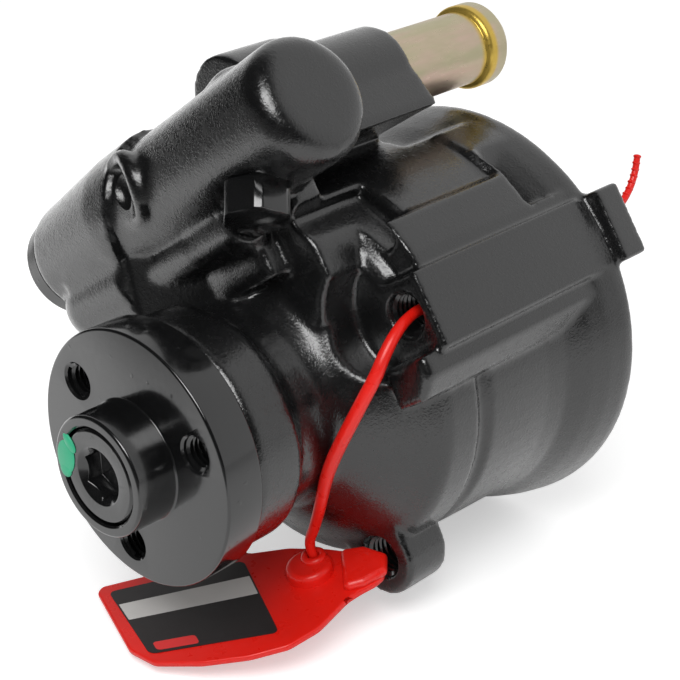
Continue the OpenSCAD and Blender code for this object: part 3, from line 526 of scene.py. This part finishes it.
class PUMP_OT_seal(bpy.types.Operator):
    """Moulded seal with its strap through the long ear, its flag, lock and neck, and its bare label"""
    bl_idname = "pump.seal"
    bl_label = "Seal"

    def execute(self, context):
        radius = 1.25 * MM
        strap, route = self.strap(context, radius)
        ribs = self.ribs(route[-4:], 0.72 * radius)
        tag = new_piece("moulded_tag", self.tag(), "pump_body", "red_plastic", finish("seal_red"))
        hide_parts("seal_tag")
        label = new_piece("bare_label", self.label(), "pump_body", "label_black", finish("label_dark"),
                          finish("label_strip"), finish("label_red"))
        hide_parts("seal_label")
        return {"FINISHED"}

    def strap(self, context, radius):
        """Strap from the lock chamber through the long ear and out behind"""
        lift = Vector((0, 0, 4)) * MM
        # Route's points, as chosen for the strap's solid
        chosen = ((17.6, 37.8, -26.5), (20.5, 36.4, -20), (22.5, 35.5, -14.5), (24.5, 34.8, -9),
                  (26.8, 34.5, -3.5), (29.2, 34.8, 2), (31.5, 35.6, 7.5), (33.5, 37, 13), (34.8, 39.2, 18),
                  (35, 42, 22.5), (34.6, 46, 26), (33.9, 51, 27.8), (33.5, 57, 28.2), (33.4, 64, 28.2),
                  (33.4, 71, 28.2), (33.4, 78, 28.2), (33.4, 85, 28.2), (33.4, 92, 28.2), (33.4, 99, 28.2),
                  (33.4, 106, 28.2), (33.4, 113, 28.2), (33.4, 119, 28.3), (33.4, 124, 29),
                  (33.3, 128.6, 30.7), (33, 132.6, 33.4), (32.5, 135.4, 37), (32, 136.8, 41))
        start = [SEAL_FRAME @ STRAP_FOOT, SEAL_FRAME @ (STRAP_FOOT + lift)]
        route = start + [Vector(p) * MM for p in chosen]
        curve = bpy.data.curves.new("seal_strap_cord", "CURVE")
        curve.dimensions = "3D"
        curve.bevel_depth = radius
        curve.bevel_resolution = 6
        curve.use_fill_caps = True
        curve.resolution_u = 8
        spline = curve.splines.new("BEZIER")
        spline.bezier_points.add(len(route) - 1)
        stations = (0, 3, 6, 10, 13, 22, 25, 28)
        shares = (0.9, 1.15, 1.3, 1.25, 1, 1, 0.75, 0.65)
        widths = np.interp(range(len(route)), stations, shares)
        for point, place, width in zip(spline.bezier_points, route, widths):
            point.co = place
            point.radius = width
            point.handle_left_type = "AUTO"
            point.handle_right_type = "AUTO"
        strap = bpy.data.objects.new("seal_strap_cord", curve)
        context.scene.collection.objects.link(strap)
        curve.materials.append(finish("seal_red"))
        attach(strap, "pump_body")
        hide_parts("seal_strap")
        return strap, route

    def ribs(self, tail, radius):
        """Rounded ribs round the strap's free end"""
        bm = bmesh.new()
        count = 9
        for i in range(count):
            share = i / (count - 1) * (len(tail) - 1.001)
            at = int(share)
            heading = tail[at + 1] - tail[at]
            middle = tail[at] + heading * (share - at)
            turn = heading.to_track_quat("Z", "Y").to_matrix().to_4x4()
            place = Matrix.Translation(middle) @ turn @ Matrix.Diagonal((1, 1, 0.5, 1))
            bmesh.ops.create_uvsphere(bm, u_segments=16, v_segments=8, radius=radius * 1.16, matrix=place)
        return new_piece("strap_ribs", finished(bm, "strap_ribs"), "pump_body", "red_plastic",
                         finish("seal_red"))

    def tag(self):
        """Flag with rounded rims, a domed lock with its collar, and a raised pad at the neck's tip"""
        thick, top, lock = 1.6 * MM, 4.6 * MM, 5.6 * MM
        bm = node_copy("seal_tag")
        bmesh.ops.transform(bm, matrix=SEAL_FRAME.inverted(), verts=bm.verts)
        bmesh.ops.dissolve_limit(bm, angle_limit=math.radians(1), verts=bm.verts, edges=bm.edges)
        dome = [e for e in bm.edges if min(v.co.z for v in e.verts) > top - 0.1 * MM]
        bevel(bm, dome, 1.3 * MM, 5)
        corners = [e for e in bm.edges if e.calc_length() < 1.01 * thick
                   and abs(e.verts[0].co.z - e.verts[1].co.z) > 0.9 * thick]
        bevel(bm, corners, 0.9 * MM, 3)
        rims = [e for e in bm.edges if max(v.co.z for v in e.verts) < 1.01 * thick
                and abs(e.verts[0].co.z - e.verts[1].co.z) < 0.1 * thick
                and min(v.co.xy.length for v in e.verts) > 1.02 * lock]
        bevel(bm, rims, 0.5 * MM, 3)
        self.collar(bm, STRAP_FOOT)
        flats = [f for f in bm.faces if f.calc_area() > (4 * MM) ** 2]
        bmesh.ops.inset_individual(bm, faces=flats, thickness=0.25 * MM)
        neck = ((-9, -3), (-12.8, -2.8), (-17, 0.8), (-16.6, 5.2), (-12, 7.6), (-9, 8))
        self.tip(bm, neck, height=2.3, radius=1.4)
        return finished(bm, "moulded_tag", SEAL_FRAME, 40)

    def tip(self, bm, outline, height, radius):
        """Slab with a full round edge, drawn in millimetres of the seal's own frame"""
        slab = bmesh.new()
        for x, y in outline:
            place = Matrix.Translation(Vector((x, y, height)) * MM)
            bmesh.ops.create_icosphere(slab, subdivisions=3, radius=radius * MM, matrix=place)
        hull = bmesh.ops.convex_hull(slab, input=slab.verts)
        spare = hull["geom_interior"] + hull["geom_unused"]
        inner = {g for g in spare if isinstance(g, bmesh.types.BMVert)}
        bmesh.ops.delete(slab, geom=list(inner), context="VERTS")
        mesh = finished(slab, "tip")
        bm.from_mesh(mesh)
        bpy.data.meshes.remove(mesh)

    def collar(self, bm, centre):
        """Rounded collar round the strap's foot"""
        ring = bmesh.ops.create_circle(bm, segments=12, radius=0.95 * MM)["verts"]
        middle = centre + Vector((2.15, 0, 0)) * MM
        place = Matrix.Translation(middle) @ Matrix.Rotation(math.radians(90), 4, "X")
        bmesh.ops.transform(bm, matrix=place, verts=ring)
        edges = list({e for v in ring for e in v.link_edges})
        bmesh.ops.spin(bm, geom=ring + edges, cent=centre, axis=(0, 0, 1), angle=math.tau, steps=40,
                       use_merge=True)

    def raised(self, bm, outline, low, high, corner):
        """Plate with rounded corners, drawn in millimetres of the seal's own frame"""
        face = bm.faces.new([bm.verts.new((x * MM, y * MM, low * MM)) for x, y in outline])
        lifted = bmesh.ops.extrude_face_region(bm, geom=[face])["geom"]
        top = [v for v in lifted if isinstance(v, bmesh.types.BMVert)]
        bmesh.ops.translate(bm, verts=top, vec=(0, 0, (high - low) * MM))
        upright = [e for v in top for e in v.link_edges
                   if abs(e.verts[0].co.z - e.verts[1].co.z) > 0.01 * MM]
        bevel(bm, upright, corner * MM, 4)

    def label(self):
        """Dark label with a pale strip and a small red field, all bare"""
        corners = [Vector(p) for p in ((49, -7), (16, -9), (8, 19), (38, 18))]

        def spot(across, down):
            left = corners[0].lerp(corners[3], down)
            right = corners[1].lerp(corners[2], down)
            return left.lerp(right, across)

        # Each field's span across and down the label, its low and high faces and its corners' radius
        fields = ((0, 1, 0, 1, 1.6, 1.82, 1.6),
                  (0.012, 0.988, 0.22, 0.47, 1.7, 1.85, 0.15),
                  (0.07, 0.4, 0.85, 0.97, 1.7, 1.85, 0.9))
        bm = bmesh.new()
        for index, (u0, u1, t0, t1, low, high, corner) in enumerate(fields):
            before = set(bm.faces)
            outline = [spot(u, t) for u, t in ((u0, t0), (u1, t0), (u1, t1), (u0, t1))]
            self.raised(bm, outline, low, high, corner)
            for face in set(bm.faces) - before:
                face.material_index = index
        return finished(bm, "bare_label", SEAL_FRAME, 30)


class PUMP_OT_housing(bpy.types.Operator):
    """Casting with its rounded edges, fillets and tapped ears"""
    bl_idname = "pump.housing"
    bl_label = "Housing"

    def execute(self, context):
        casting = context.scene.pump_casting
        threads = context.scene.pump_threads
        mesh = bpy.data.meshes.new("cast_housing")
        bm = node_copy("housing")
        self.lip(bm)
        bm.to_mesh(mesh)
        bm.free()
        piece = new_piece("cast_housing", mesh, "pump_body", "cast_black", finish("cast_paint"))
        remesh = piece.modifiers.new("skin", "REMESH")
        remesh.mode = "VOXEL"
        remesh.voxel_size = casting.voxel
        remesh.use_smooth_shade = True
        apply_modifiers(piece)
        self.soften(piece, casting)
        self.thin(piece, casting)
        piece.data.materials.clear()
        piece.data.materials.append(finish("cast_paint"))
        cut(piece, self.niche())
        cut(piece, drill(threads.ear_major, 0, 66 * MM, LONG_EAR))
        cut(piece, drill(threads.ear_major, 0, 11 * MM, LOWER_EAR))
        piece.data.set_sharp_from_angle(angle=math.radians(45))
        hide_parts("housing")
        for name, place, depth in (("long_ear_thread", LONG_EAR, 62 * MM),
                                   ("lower_ear_thread", LOWER_EAR, 10 * MM)):
            ridge = thread(threads.ear_minor, threads.ear_major, threads.ear_pitch, depth, 0.7 * MM)
            new_piece(name, finished(ridge, name, place), "pump_body", "cast_black", finish("turned_paint"))
        return {"FINISHED"}

    def thin(self, piece, casting):
        """Merges triangles where the skin is flat, down to the number wanted"""
        count = 2 * len(piece.data.polygons)
        fewer = piece.modifiers.new("fewer", "DECIMATE")
        fewer.ratio = min(1, casting.triangles / count)
        apply_modifiers(piece)

    def lip(self, bm):
        """Adds the crescent-shaped lip round the niche, which tapers to both its ends"""
        valve_y, valve_z, valve_r = 40, 54, 14.5
        beads, sweep, thick = 25, 7.4, 2.5
        middle_x, middle_z = 0.8, 55.6
        first, span = 110, 215
        for i in range(beads):
            share = i / (beads - 1)
            turn = math.radians(first - span * share)
            x = middle_x + sweep * math.cos(turn)
            z = middle_z + sweep * math.sin(turn)
            y = valve_y - math.sqrt(valve_r ** 2 - (z - valve_z) ** 2)
            place = PUMP_ROLL @ Matrix.Translation(Vector((x, y, z)) * MM)
            taper = 1 - 0.45 * abs(2 * share - 1) ** 2
            bmesh.ops.create_icosphere(bm, subdivisions=2, radius=thick * taper * MM, matrix=place)

    def niche(self):
        """Cutter for the small niche beside the tower's slanting edge"""
        bm = bmesh.new()
        middle = Matrix.Translation(Vector((1.2, 25, 56.4)) * MM)
        radii = Matrix.Diagonal((3.4, 3.4, 5.2, 1))
        bmesh.ops.create_icosphere(bm, subdivisions=4, radius=MM, matrix=PUMP_ROLL @ (middle @ radii))
        return helper("niche", finished(bm, "niche"))

    def soften(self, piece, casting):
        """Rounds all edges a little, and the tower with its webs and flank more"""
        count = len(piece.data.vertices)
        flat = np.zeros(count * 3, np.float32)
        piece.data.vertices.foreach_get("co", flat)
        upright = np.array(PUMP_ROLL.inverted().to_3x3())
        # Places in millimetres of the pump's upright frame, and how far each is rounded
        x, y, z = (flat.reshape(-1, 3) @ upright.T / MM).T
        webs = fade(x, 8, 5) * fade(z, 18, 6) * fade(-y, -54, 5)
        pocket = fade(x, 20, 5) * fade(z, -14, 5) * fade(-y, -48, 3) * 0.6
        flank = fade(z, 16, 6) * fade(y, 50, 6) * 0.35
        weight = np.maximum(np.maximum(webs, pocket), np.maximum(flank, 0.1))
        group = piece.vertex_groups.new(name="fillets")
        levels = 10
        for level in range(1, levels + 1):
            chosen = np.flatnonzero(np.round(weight * levels) == level)
            group.add(chosen.tolist(), level / levels, "REPLACE")
        for name, rounds, chosen in (("edges", casting.edge_rounds, ""),
                                     ("tower", casting.fillet_rounds, group.name)):
            smooth = piece.modifiers.new(name, "SMOOTH")
            smooth.factor = 0.5
            smooth.iterations = rounds
            smooth.vertex_group = chosen
        apply_modifiers(piece)


class PUMP_OT_hub(bpy.types.Operator):
    """Turned pulley hub with tapped holes, its socket screw and the green check mark"""
    bl_idname = "pump.hub"
    bl_label = "Hub"

    def execute(self, context):
        threads = context.scene.pump_threads
        paint = finish("turned_paint")
        mesh = finished(turned(self.profile()), "turned_hub", PUMP_ROLL)
        hub = new_piece("turned_hub", mesh, "drive_group", "machined_black", paint)
        holes, circle, first = 3, 22 * MM, 10.1
        for i in range(holes):
            turn = Matrix.Rotation(math.radians(first - 360 / holes * i), 4, "Y")
            place = PUMP_ROLL @ turn @ Matrix.Translation((circle, 0, 0))
            cut(hub, drill(threads.hub_major, -0.2 * MM, 12 * MM, place))
            name = f"hub_thread_{i + 1}"
            ridge = thread(threads.hub_minor, threads.hub_major, threads.hub_pitch, 9.2 * MM, 0.5 * MM)
            new_piece(name, finished(ridge, name, place), "drive_group", "machined_black", paint)
        hub.data.set_sharp_from_angle(angle=math.radians(35))
        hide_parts("pulley_hub")
        self.screw()
        self.dab()
        return {"FINISHED"}

    def profile(self):
        """Half section of the flange with its nose and the recess for the screw"""
        bore, recess, seat, back = 8.2, 11.4, -3.5, 10
        flange, edge = 30, 0.6
        nose, nose_end, nose_edge = 14, -10.3, 0.7
        fillet, chamfer = 0.5, 0.4
        return [(bore, seat), (bore, back),
                *arc(flange - edge, back - edge, edge, 90, 0),
                *arc(flange - edge, edge, edge, 0, -90),
                *arc(nose + fillet, -fillet, fillet, 90, 180),
                *arc(nose - nose_edge, nose_end + nose_edge, nose_edge, 0, -90),
                (recess + chamfer, nose_end), (recess, nose_end + chamfer), (recess, seat)]

    def screw(self):
        """Socket screw with its edges broken"""
        bm = node_copy("hub_screw")
        bmesh.ops.dissolve_limit(bm, angle_limit=math.radians(1), verts=bm.verts, edges=bm.edges)
        piece = new_piece("socket_screw", finished(bm, "socket_screw"), "drive_group", "machined_black",
                          finish("turned_paint"))
        edge = piece.modifiers.new("edge", "BEVEL")
        edge.width = 0.18 * MM
        edge.segments = 2
        edge.limit_method = "ANGLE"
        edge.angle_limit = math.radians(40)
        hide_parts("hub_screw")

    def dab(self):
        """Domed dab of paint across the nose's rim and the screw's head"""
        bm = bmesh.new()
        strokes = ((-10.5, 1, 2.9, 4.5, 8), (-9, 4.9, 1.3, 2.6, -42), (-10.8, -2.2, 1.9, 2, 0))
        for x, z, wide, tall, lean in strokes:
            place = Matrix.Translation(Vector((x, -10.12, z)) * MM)
            turn = Matrix.Rotation(math.radians(lean), 4, "Y")
            shape = Matrix.Diagonal((wide * MM, 0.5 * MM, tall * MM, 1))
            bmesh.ops.create_icosphere(bm, subdivisions=3, radius=1, matrix=place @ turn @ shape)
        new_piece("check_dab", finished(bm, "check_dab"), "drive_group", "machined_black",
                  finish("green_dab"))


class PUMP_OT_fittings(bpy.types.Operator):
    """Valve union with its washer, the cross plug, the plated pipe and the rear cover"""
    bl_idname = "pump.fittings"
    bl_label = "Fittings"

    def execute(self, context):
        self.pipe()
        self.plug()
        dress("outlet_union", "turned_paint")
        dress("union_washer", "turned_paint")
        dress("end_cover", "oiled_steel")
        dress("retaining_ring", "oiled_steel")
        return {"FINISHED"}

    def pipe(self):
        """Steel pipe with a rounded hose bead and a rolled mouth"""
        outer, inner, start, end = 8.9, 7.6, 69, 122.5
        bead, bead_start, bead_end, foot = 1.4, 115.7, 119.9, 113.9
        lip, fillet = 0.5, 0.4
        profile = [(inner, start), (outer, start), (outer, foot),
                   *arc(outer + fillet, foot, fillet, 180, 90, 3),
                   *arc(outer, bead_start, bead, -72, 0),
                   *arc(outer, bead_end, bead, 0, 60),
                   *arc(outer - lip, end - lip, lip, 0, 90, 4),
                   *arc(inner + fillet, end - fillet, fillet, 90, 180, 4)]
        mesh = finished(turned(profile, 96), "plated_pipe", PIPE_FRAME)
        pipe = new_piece("plated_pipe", mesh, "pump_body", "zinc", finish("plated_zinc"))
        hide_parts("suction_pipe")

    def plug(self):
        """Hex head with its corners turned off, on its thread"""
        across, head, thread_r = 14 * MM, 8 * MM, 4 * MM
        seat, foot = 12.6 * MM, 7.4 * MM
        corner = across / 2 / math.cos(math.radians(30))
        bm = bmesh.new()
        hexagon = bmesh.ops.create_cone(bm, cap_ends=True, segments=6, radius1=corner, radius2=corner,
                                        depth=head)["verts"]
        bmesh.ops.translate(bm, verts=hexagon, vec=(0, 0, seat + head / 2))
        upright = [e for e in bm.edges if abs(e.verts[0].co.z - e.verts[1].co.z) > head / 2]
        bevel(bm, upright, 1.1 * MM, 1)
        sharp = [e for e in bm.edges if e.calc_face_angle(0) > math.radians(25)]
        bevel(bm, sharp, 0.3 * MM, 2)
        stem = bmesh.ops.create_cone(bm, cap_ends=True, segments=32, radius1=thread_r, radius2=thread_r,
                                     depth=seat - foot)["verts"]
        bmesh.ops.translate(bm, verts=stem, vec=(0, 0, (seat + foot) / 2))
        plug = new_piece("hex_plug", finished(bm, "hex_plug", PLUG_FRAME), "pump_body", "machined_black",
                         finish("turned_paint"))
        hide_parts("cross_plug")


class PUMP_OT_insides(bpy.types.Operator):
    """Finishes of the pieces that the housing holds, and the valve's coil springs"""
    bl_idname = "pump.insides"
    bl_label = "Insides"

    def execute(self, context):
        finishes = {
            "ground_steel": ("drive_shaft", "thrust_plate", "cam_ring", "vanes", "pressure_plate",
                             "dowel_pins", "flow_spool", "relief_ball"),
            "oiled_steel": ("rotor", "rotor_clip", "plate_spring"),
            "plain_bronze": ("front_bush", "relief_seat"),
            "rubber": ("shaft_seal", "pressure_plate_ring", "cover_ring"),
        }
        for name, nodes in finishes.items():
            for node in nodes:
                dress(node, name)
        for joint in frame["record"]["behaviour"]["joints"]:
            for row in joint.get("deforming_nodes", ()):
                self.spring(joint, row["node"], row["fixed_end_z_m"])
        return {"FINISHED"}

    def spring(self, joint, node, fixed_end):
        """Coil copied from the spring's solid and hung on its joint's parent"""
        bm = node_copy(node)
        name = f"{node}_coil"
        coil = new_piece(name, finished(bm, name), joint["parent"], "steel", finish("ground_steel"))
        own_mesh(coil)
        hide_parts(node)


class PUMP_PT_sidebar(bpy.types.Panel):
    """Buttons and values of the pump"""
    bl_idname = "PUMP_PT_sidebar"
    bl_label = "Power steering pump"
    bl_space_type = "VIEW_3D"
    bl_region_type = "UI"
    bl_category = "Pump"

    def draw(self, context):
        for operator in OPERATORS:
            self.layout.operator(operator.bl_idname)
        for name in GROUPS:
            box = self.layout.box()
            group = getattr(context.scene, name)
            for key in group.bl_rna.properties.keys():
                if key not in ("rna_type", "name"):
                    box.prop(group, key)


OPERATORS = (PUMP_OT_stage, PUMP_OT_seal, PUMP_OT_housing, PUMP_OT_hub, PUMP_OT_fittings, PUMP_OT_insides)
GROUPS = {"pump_casting": PumpCasting, "pump_threads": PumpThreads, "pump_colours": PumpColours,
          "pump_stage": PumpStage}


def register():
    for name, group in GROUPS.items():
        bpy.utils.register_class(group)
        setattr(bpy.types.Scene, name, bpy.props.PointerProperty(type=group))
    for item in (*OPERATORS, PUMP_PT_sidebar):
        bpy.utils.register_class(item)


def unregister():
    for item in reversed((*OPERATORS, PUMP_PT_sidebar)):
        bpy.utils.unregister_class(item)
    for name, group in GROUPS.items():
        delattr(bpy.types.Scene, name)
        bpy.utils.unregister_class(group)


def main():
    register()
    bpy.ops.pump.stage()
    bpy.ops.pump.seal()
    bpy.ops.pump.housing()
    bpy.ops.pump.hub()
    bpy.ops.pump.fittings()
    bpy.ops.pump.insides()


if __name__ == "__main__":
    main()
